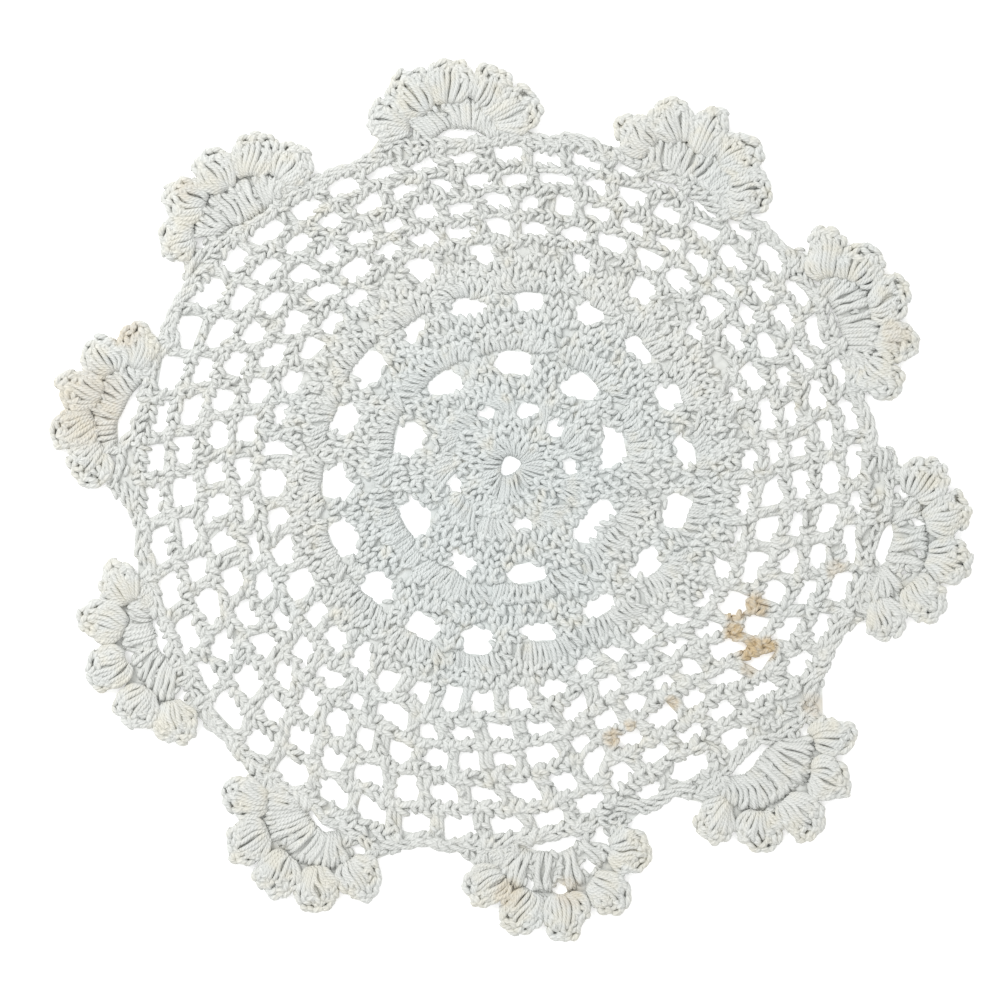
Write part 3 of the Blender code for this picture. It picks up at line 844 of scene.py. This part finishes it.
# --------------------
# Net. Five rounds of double crochets in pairs, each pair leaning a little and no
# two quite alike, under a chain that the next round stands on. The pairs drift
# round toward one side, and at one place the rounds are gathered inward.
NET_ROUNDS = (
    # inner chain  outer chain  pairs  first pair  drift  lower edge  upper edge  crowding
    (72.6 * MM, 82.0 * MM, 42, -2.1, 1.6, 75.0 * MM, 79.6 * MM, 0.4 * MM),
    (82.0 * MM, 91.0 * MM, 42, 1.7, 3.0, 84.1 * MM, 88.9 * MM, -0.1 * MM),
    (91.0 * MM, 100.5 * MM, 50, 2.1, 2.7, 93.5 * MM, 97.9 * MM, 0.6 * MM),
    (100.5 * MM, 110.3 * MM, 50, -2.3, 3.0, 103.1 * MM, 107.6 * MM, 0.7 * MM),
    (110.3 * MM, 120.6 * MM, 50, 0.3, 2.4, 112.7 * MM, 116.8 * MM, 0.4 * MM),
)
DRIFT_AT = 157.0
GATHER = 0.07
GATHERED_AT = 302.5
GATHER_SPAN = 16.0
PAIR_WIDTH = 4.9 * MM
PAIR_LEAN = 1.8 * MM
PAIR_STRAY = 1.0 * MM
CHAIN_STRAY = 0.5 * MM
CROWDED_AT = 55.0
CORNER_STRAY = 0.6 * MM
CORNER_SEED = 40
SAG = 1.6 * MM
LINK_PITCH = 3.0 * MM
LINK_SLANT = 34.0


def gather(degrees):
    """Share by which the net is drawn inward: a flat-topped bell about one angle."""
    return GATHER * np.exp(-((apart(degrees, GATHERED_AT) / GATHER_SPAN) ** 4))


def net_cloth(radius, degrees):
    """Where a place in the even net lies in the pulled and gathered cloth."""
    return cloth(radius * (1.0 - gather(degrees)), degrees)


def drawn(stray, rows, columns):
    """Table of even random shares from -1 to 1, row by row."""
    shares = [stray.uniform(-1.0, 1.0) for _ in range(rows * columns)]
    return np.array(shares).reshape(rows, columns)


def net_edges(place):
    """Angles of the pairs' feet and tops in a round, and the lower and upper edges
    of its openings, each as angles and radii. An opening's edge runs straight from
    corner to corner, or bends out in the middle by the sag.
    """
    inner, outer, pairs, first, drift, low_edge, high_edge, crowding = NET_ROUNDS[place]
    sizes = np.array([PAIR_STRAY, PAIR_STRAY, CHAIN_STRAY, CHAIN_STRAY])
    strays = drawn(random.Random(place), pairs, 4) * sizes
    corners = drawn(random.Random(CORNER_SEED + place), pairs, 5)
    middles = around(pairs, first)
    middles = middles + drift * np.cos(np.radians(middles - DRIFT_AT))
    feet = middles + np.degrees((strays[:, 0] - 0.5 * PAIR_LEAN) / inner)
    tops = middles + np.degrees((strays[:, 1] + 0.5 * PAIR_LEAN) / outer)
    crowded = crowding * np.cos(np.radians(middles + 180.0 / pairs - CROWDED_AT))
    rows = (
        # chain  places  edge  side  stray  first corner  last corner
        (inner, feet, low_edge, 1.0, 2, 0, 1),
        (outer, tops, high_edge, -1.0, 3, 3, 2),
    )
    edges = []
    for chain, places, edge, side, gap, first_corner, last_corner in rows:
        clear = math.degrees(0.5 * PAIR_WIDTH / chain)
        radius = edge + side * crowded + strays[:, gap]
        start = places + clear
        stop = places + (np.roll(places, -1) - places) % 360.0 - clear
        sag = SAG * np.minimum(0.0, side * corners[:, 4])
        low = radius + CORNER_STRAY * corners[:, first_corner]
        high = radius + CORNER_STRAY * corners[:, last_corner]
        peak = np.where(sag < 0.0, radius - side * np.abs(sag), 0.5 * (low + high))
        at = np.stack([start, 0.5 * (start + stop), stop], axis=-1).reshape(-1)
        edges.append((at, np.stack([low, peak, high], axis=-1).reshape(-1)))
    return feet, tops, edges[0], edges[1]


def fullness(degrees):
    """How plump the yarn of the net is, as a column: fuller near the lower edge."""
    return (1.0 + 0.12 * np.cos(np.radians(degrees - 275.0)))[:, None]


def chain_band(lower, upper, radius, draw):
    """Chain that fills the cloth between the openings below it and those above: two
    rows of short plump strands that slant to and fro, like a row of arrowheads.
    """
    links = int(round(math.tau * radius / LINK_PITCH))
    strands = []
    for row, slant in ((-0.2, LINK_SLANT), (0.2, -LINK_SLANT)):
        at = around(links, draw.uniform(0.0, 2.0)) + draw.uniform(-0.5, 0.5, links)
        low = np.interp(at, lower[0], lower[1], period=360.0)
        high = np.interp(at, upper[0], upper[1], period=360.0)
        place = 0.5 * (low + high) + row * (high - low) + draw.uniform(-0.3, 0.3, links) * MM
        spots = net_cloth(place, at)
        way = local_axes(spots, net_cloth(place, at + 0.5))[1]
        lift = 1.8 * MM + draw.uniform(0.0, 0.5, (links, 1)) * MM
        full = fullness(at)
        way = turned(way, 22.0, draw, slant)
        strands += tufts(spots, way, 4.1 * MM * full, 1.9 * MM * full, lift, draw)
    return strands


net_pieces = []
rounds = [net_edges(place) for place in range(len(NET_ROUNDS))]
for place, (feet_at, tops_at, lower, upper) in enumerate(rounds):
    inner, outer = NET_ROUNDS[place][:2]
    draw = np.random.default_rng(31 + place)
    foot = net_cloth(inner - 0.8 * MM, feet_at)
    top = net_cloth(outer + 0.8 * MM, tops_at)
    way, aside = local_axes(foot, top)[1:]
    full = fullness(feet_at)
    width, length = 1.9 * MM * full, 3.8 * MM * full
    strands = posts(foot, top, 3, (1.5 * MM, 1.5 * MM), (width, width), 1.35 * MM, draw)
    for side in (-1.0, 1.0):
        low, high = foot + side * MM * aside, top + side * MM * aside
        strands += wraps(low, high, 1.2 * MM, 1.6 * MM, 2.2 * MM, draw)
        knot = high + (draw.uniform(-0.9, 0.3, (len(high), 1)) * MM - 1.0 * MM) * way
        strands += tufts(knot, turned(way, 28.0, draw, -18.0 * side), length, width, 2.4 * MM, draw)
        knot = low + (draw.uniform(-0.4, 0.8, (len(low), 1)) * MM + 0.4 * MM) * way
        lean = turned(way, 35.0, draw, 15.0 * side)
        strands += tufts(knot, lean, 3.0 * MM * full, width, 2.0 * MM, draw)
    if place > 0:
        strands += chain_band(rounds[place - 1][3], lower, inner, draw)
    net_pieces.append(yarn_piece("net_round_%d" % (place + 1), strands, draw, yarn))

# --------------------
# Scallops. Ten arches on the rim, each worked over with long double crochets that
# carry the petals. Their places and sizes differ, as they do in hand work.
SCALLOPS = np.array((
    # angle  distance  facing  half width  height, in degrees and mm
    (23.9, 116.7, 24.0, 24.6, 21.0),
    (58.9, 110.9, 63.0, 22.8, 19.3),
    (99.8, 111.4, 94.0, 23.4, 18.9),
    (137.0, 120.0, 123.0, 25.0, 20.4),
    (171.8, 126.4, 158.0, 23.4, 20.2),
    (207.4, 127.9, 202.0, 27.2, 21.8),
    (241.0, 132.6, 235.0, 25.3, 24.2),
    (276.0, 124.6, 283.0, 26.8, 26.0),
    (310.6, 126.0, 306.0, 25.9, 25.4),
    (348.6, 125.2, 344.0, 26.4, 23.8),
)) * (1.0, MM, 1.0, MM, MM)
CRESCENTS = np.array((
    # along  outward  half length  rise  dip, in mm
    (0.0, -0.2, 9.4, 2.2, 0.6),
    (0.0, -0.4, 9.0, 0.0, 0.0),
    (-2.4, -0.6, 8.8, 2.2, 0.3),
    (0.0, -0.4, 9.0, 0.0, 0.0),
    (0.0, 1.0, 9.6, 3.4, 1.2),
    (-2.7, 0.9, 8.5, 2.6, 0.8),
    (2.1, 0.6, 5.4, 1.8, 0.6),
    (1.7, 1.0, 10.0, 2.4, 1.0),
    (-1.7, -0.3, 9.2, 1.9, 1.3),
    (-1.1, 1.3, 7.4, 1.8, 0.6),
)) * MM
BASE_STITCHES = np.array((
    # along  rise, in mm
    (-12.4, 3.0),
    (-14.6, 3.4),
    (-16.8, 3.8),
    (-19.0, 4.2),
    (-21.2, 4.4),
    (-23.0, 3.0),
    (12.8, 3.0),
    (21.6, 4.4),
    (23.2, 3.4),
)) * MM
PETALS = 5
PETAL_SPREAD = 68.0
CHAIN_REACH = 1.34
CHAIN_LEAN = 1.4 * MM


def scallop(row, along_by, out_by):
    """Places at distances along and outward from the middle of a scallop's arch."""
    angle, distance, facing = (math.radians(row[0]), row[1], math.radians(row[2]))
    along_by, out_by = np.broadcast_arrays(along_by, out_by)
    x = ROSETTE_X + distance * math.cos(angle) + out_by * math.cos(facing)
    y = ROSETTE_Y + distance * math.sin(angle) + out_by * math.sin(facing)
    return np.stack([x - along_by * math.sin(facing), y + along_by * math.cos(facing)], axis=-1)


petal_middles, petal_ways = [], []
for row in SCALLOPS:
    turn = np.radians(np.linspace(-PETAL_SPREAD, PETAL_SPREAD, PETALS))
    spots = scallop(row, row[3] * np.sin(turn), row[4] * np.cos(turn))
    petal_middles.append(spots)
    petal_ways.append(local_axes(scallop(row, np.zeros(PETALS), 0.0), spots)[1])
petal_middles = np.concatenate(petal_middles)
petal_ways = np.concatenate(petal_ways)

draw = np.random.default_rng(19)
strands = []
for row, crescent in zip(SCALLOPS, CRESCENTS):
    wide = row[3] / (24.0 * MM)
    high = row[4] / (21.0 * MM)
    aside, base, half, rise, dip = crescent
    turn = np.radians(np.linspace(-86.0, 72.0, 16) + draw.uniform(-2.0, 2.0, 16))
    share = (1.0 + 2.6 * MM / half) * np.sin(turn)
    feet = scallop(row, aside + share * half, base + rise * np.maximum(0.0, 1.0 - share ** 2) + 0.5 * MM)
    rise = (14.6 * np.cos(turn) - 0.2) * MM * high
    tops = scallop(row, 18.2 * MM * wide * np.sin(turn), rise)
    strands += fan_posts(feet, tops, (1.1 * MM, 1.6 * MM), (1.6 * MM, 2.1 * MM), 1.8 * MM, draw)
    knots = feet + 0.84 * (tops - feet)
    way = turned(local_axes(feet, tops)[1], 35.0, draw)
    strands += kept(tufts(knots, way, 4.2 * MM, 1.75 * MM, 2.5 * MM, draw))
    along = np.linspace(-24.0, 24.0, 17) * MM
    under = base - 1.3 * MM - dip * np.maximum(0.0, 1.0 - ((along - aside) / half) ** 2)
    line = scallop(row, along, np.minimum(-1.6 * MM, under))
    strands += loops(line[:-1], line[1:], 3.4 * MM, 1.65 * MM, 1.85 * MM, draw, CHAIN_REACH, CHAIN_LEAN)
    aside, rise = BASE_STITCHES.T
    low = scallop(row, aside, -2.6 * MM)
    raised = scallop(row, aside * 1.02, rise)
    strands += posts(low, raised, 2, (1.3 * MM, 1.3 * MM), (1.6 * MM, 1.6 * MM), 1.4 * MM, draw)
    strands += loops(low + 0.4 * (raised - low), raised, 2.9 * MM, 1.55 * MM, 1.9 * MM, draw)
scallop_arches = yarn_piece("scallop_arches", strands, draw, yarn)

# --------------------
# Edging. A chain round the rim, and between the scallops a cord of two strands
# twisted together, from the foot of one scallop to the foot of the next.
RIM_RADIUS = 122.0 * MM
FOOT_ALONG = 23.0 * MM
FOOT_BACK = 2.6 * MM
CORD_TURN = 9.0 * MM


def cord(stops, half_width, thickness, lift, draw):
    """Two strands that wind round each other along a line: each swings from side to
    side in a sine wave and over and under in the wave a quarter turn behind it.
    """
    run = np.concatenate([[0.0], np.cumsum(np.linalg.norm(np.diff(stops, axis=0), axis=1))])
    at = np.linspace(0.0, run[-1], int(round(run[-1] / (1.3 * MM))))
    line = np.stack([np.interp(at, run, stops[:, axis]) for axis in range(2)], axis=-1)
    way = np.gradient(line, axis=0)
    way /= np.linalg.norm(way, axis=1, keepdims=True)
    first = draw.uniform(0.0, math.tau)
    paths = []
    for side in (0.0, math.pi):
        phase = math.tau * at / CORD_TURN + first + side
        flat = line + (half_width * np.cos(phase))[:, None] * left_of(way)
        height = lift + 0.35 * thickness * np.sin(phase)
        paths.append(np.concatenate([flat, height[:, None]], axis=1))
    paths = np.array(paths)
    return [(paths, np.full(paths.shape[:2], 0.5 * thickness))]


draw = np.random.default_rng(17)
rim_edge = (np.array([0.0]), np.array([RIM_RADIUS]))
strands = chain_band(rounds[-1][3], rim_edge, NET_ROUNDS[-1][1], draw)
for place, row in enumerate(SCALLOPS):
    following = SCALLOPS[(place + 1) % len(SCALLOPS)]
    gap = (following[0] - row[0]) % 360.0
    for inward in (0.4 * MM, 2.4 * MM):
        leaving = scallop(row, FOOT_ALONG, -FOOT_BACK - inward)
        reaching = scallop(following, -FOOT_ALONG, -FOOT_BACK - inward)
        rim = cloth(RIM_RADIUS - inward, row[0] + np.array([0.42, 0.5, 0.58]) * gap)
        stops = np.concatenate([leaving[None], rim, reaching[None]])
        strands += cord(stops, 0.7 * MM, 1.6 * MM, 1.7 * MM, draw)
edging = yarn_piece("edging", strands, draw, yarn)

# --------------------
# Petals. Each scallop carries five puffs of long loops, tight at the foot, swollen
# over a soft padding, and closed by rows of stitch tops round the tip.
PETAL_STRANDS = 10
PETAL_LENGTH = 14.6 * MM
PETAL_HALF = 8.2 * MM
PETAL_RISE = 2.6 * MM
TIP_MIDDLE = 7.5 * MM
TIP_ROWS = (
    # radius    spread  stitches  slant
    (6.3 * MM, 112.0, 12, 78.0),
    (4.7 * MM, 106.0, 9, 62.0),
    (3.0 * MM, 96.0, 6, 40.0),
)

draw = np.random.default_rng(23)
cream_yarn = cotton("cream_cotton", 0.14)
tilt = draw.uniform(-0.14, 0.14, (len(petal_ways), 1))
ways = petal_ways * np.cos(tilt) + left_of(petal_ways) * np.sin(tilt)
lefts = left_of(ways)
sizes = draw.uniform(0.95, 1.07, len(lefts))


def dome(share, across):
    """Height of the padding in a petal: a half wave from foot to tip that is blunt at
    both ends, lower towards the sides.
    """
    rise = np.sin(math.pi * np.clip(0.10 + 0.84 * share, 0.0, 1.0)) ** 0.6
    return 0.9 * MM + PETAL_RISE * rise * (1.0 - 0.5 * np.minimum(1.0, across ** 2))


def puff(starts, ways, lefts, sizes, thickness, draw):
    """Long loops of a puff. A loop leaves its place along the foot, swings out as the
    puff swells to its full width, and ends under the stitch tops; it lies on the padding.
    """
    count = len(starts)
    across = np.linspace(-1.0, 1.0, PETAL_STRANDS)[None, :]
    across = (across + draw.uniform(-0.07, 0.07, (count, PETAL_STRANDS))).reshape(-1, 1)
    owner = np.repeat(np.arange(count), PETAL_STRANDS)
    size = sizes[owner][:, None]
    share = np.linspace(0.0, 1.0, 8)[None, :]
    reach = 0.42 + 0.34 * np.cos(np.radians(76.0 * across))
    reach = reach * draw.uniform(0.88, 1.06, across.shape)
    swell = 0.34 + 0.52 * np.sin(0.5 * math.pi * np.minimum(1.0, reach * share / 0.5)) ** 0.75
    side = across * swell + draw.uniform(-0.06, 0.06, across.shape) * np.sin(math.tau * share)
    height = dome(reach * share, side) + draw.uniform(0.0, 0.45, across.shape) * MM
    radius = 0.5 * thickness * (0.82 + 0.25 * np.sin(math.pi * share))
    radius = radius * draw.uniform(0.9, 1.1, across.shape)
    forward, sideways = reach * share * PETAL_LENGTH * size, side * PETAL_HALF * size
    height = np.maximum(height, radius)
    return [(laid(starts[owner], ways[owner], lefts[owner], forward, sideways, height), radius)]


def tips(starts, ways, lefts, sizes, thickness, draw):
    """Stitch tops that close each puff: rows of short plump strands round the middle
    of its tip, that slant to and fro and in the last row lie along the rim.
    """
    strands = []
    for ring, spread, stitches, slant in TIP_ROWS:
        turn = np.radians(np.linspace(-spread, spread, stitches))[None, :]
        turn = (turn + draw.uniform(-0.09, 0.09, (len(starts), stitches))).reshape(-1, 1)
        owner = np.repeat(np.arange(len(starts)), stitches)
        radius = ring * draw.uniform(0.93, 1.05, turn.shape)
        forward, sideways = TIP_MIDDLE + radius * np.cos(turn), radius * np.sin(turn)
        rise = dome(forward / PETAL_LENGTH, sideways / PETAL_HALF) + 0.3 * MM
        size = sizes[owner][:, None]
        spots = starts[owner] + size * (forward * ways[owner] + sideways * lefts[owner])
        outward = np.cos(turn) * ways[owner] + np.sin(turn) * lefts[owner]
        slants = np.where(np.arange(len(owner)) % 2 == 0, slant, 180.0 - slant)
        strands += tufts(spots, turned(outward, 10.0, draw, slants), 3.5 * MM, thickness, rise, draw)
    return strands


def cores(starts, ways, lefts, sizes):
    """Padding inside the puffs: six fat strands side by side under each."""
    share = np.linspace(0.0, 1.0, 5)[None, :]
    size = sizes[:, None]
    strands = []
    for side in np.linspace(-1.0, 1.0, 6):
        forward = (0.04 + (0.88 - 0.12 * side ** 2) * share) * PETAL_LENGTH * size
        swell = np.sin(math.pi * (0.14 + 0.66 * share)) ** 0.7
        sideways = 0.72 * side * swell * PETAL_HALF * size
        radius = 0.5 * dome(share, side) * size
        strands.append((laid(starts, ways, lefts, forward, sideways, radius), radius))
    return strands


starts = petal_middles - 0.5 * PETAL_LENGTH * sizes[:, None] * ways
strands = cores(starts, ways, lefts, sizes)
strands += puff(starts, ways, lefts, sizes, 1.8 * MM, draw)
strands += tips(starts, ways, lefts, sizes, 2.15 * MM, draw)
petals = yarn_piece("petals", strands, draw, cream_yarn)

# --------------------
# Filling. Short low strands wherever the stitches leave the flat ground bare: first
# along its edges, then all over it.
CELL = 0.4 * MM
MAT_HALF = 0.17
FILL_PITCH = 1.9 * MM


def bare(spots, reach):
    """Which of these spots have no point of any strand within reach. The points mark
    the square cells they are in and those around, out to the reach.
    """
    cells = int(2.0 * MAT_HALF / CELL)
    taken = np.zeros((cells, cells), dtype=bool)
    column, row = np.floor((np.concatenate(worked) + MAT_HALF) / CELL).astype(int).T
    wide = int(reach / CELL)
    for right in range(-wide, wide + 1):
        for up in range(-wide, wide + 1):
            if right ** 2 + up ** 2 <= (reach / CELL) ** 2:
                taken[column + right, row + up] = True
    column, row = np.floor((spots + MAT_HALF) / CELL).astype(int).T
    return ~taken[column, row]


draw = np.random.default_rng(29)
start, stop = edge_points[edge_pairs[:, 0], :2], edge_points[edge_pairs[:, 1], :2]
length, way, _ = local_axes(start, stop)
spots = start + draw.uniform(0.3, 0.7, length.shape) * (stop - start)
open_edge = bare(spots, 1.0 * MM) & (length[:, 0] > 1.2 * MM)
way = turned(way[open_edge], 20.0, draw)
lining = tufts(spots[open_edge], way, 3.0 * MM, 1.6 * MM, 1.5 * MM, draw)
worked.extend(paths[..., :2].reshape(-1, 2) for paths, _ in lining)
steps = np.arange(-MAT_HALF + 0.01, MAT_HALF - 0.01, FILL_PITCH)
grid = np.stack(np.meshgrid(steps, steps), axis=-1).reshape(-1, 2)
grid = grid + draw.uniform(0.0, FILL_PITCH, grid.shape)
grid = grid[bare(grid, 1.2 * MM)]
grid = grid[clear_of_edges(grid, 0.2 * MM)]
away = local_axes(np.array([[ROSETTE_X, ROSETTE_Y]]), grid)[1]
filling = tufts(grid, turned(away, 80.0, draw), 3.4 * MM, 1.7 * MM, 1.6 * MM, draw)
filling = yarn_piece("filling", lining + filling, draw, yarn)

# --------------------
# The finished doily: the ground with all the yarn that stands on it. Here the yarn pieces are gathered in
# one list.
yarn_pieces = [rosette, shell_ring, dense_band, outer_shells, *net_pieces]
yarn_pieces += [scallop_arches, edging, petals, filling]
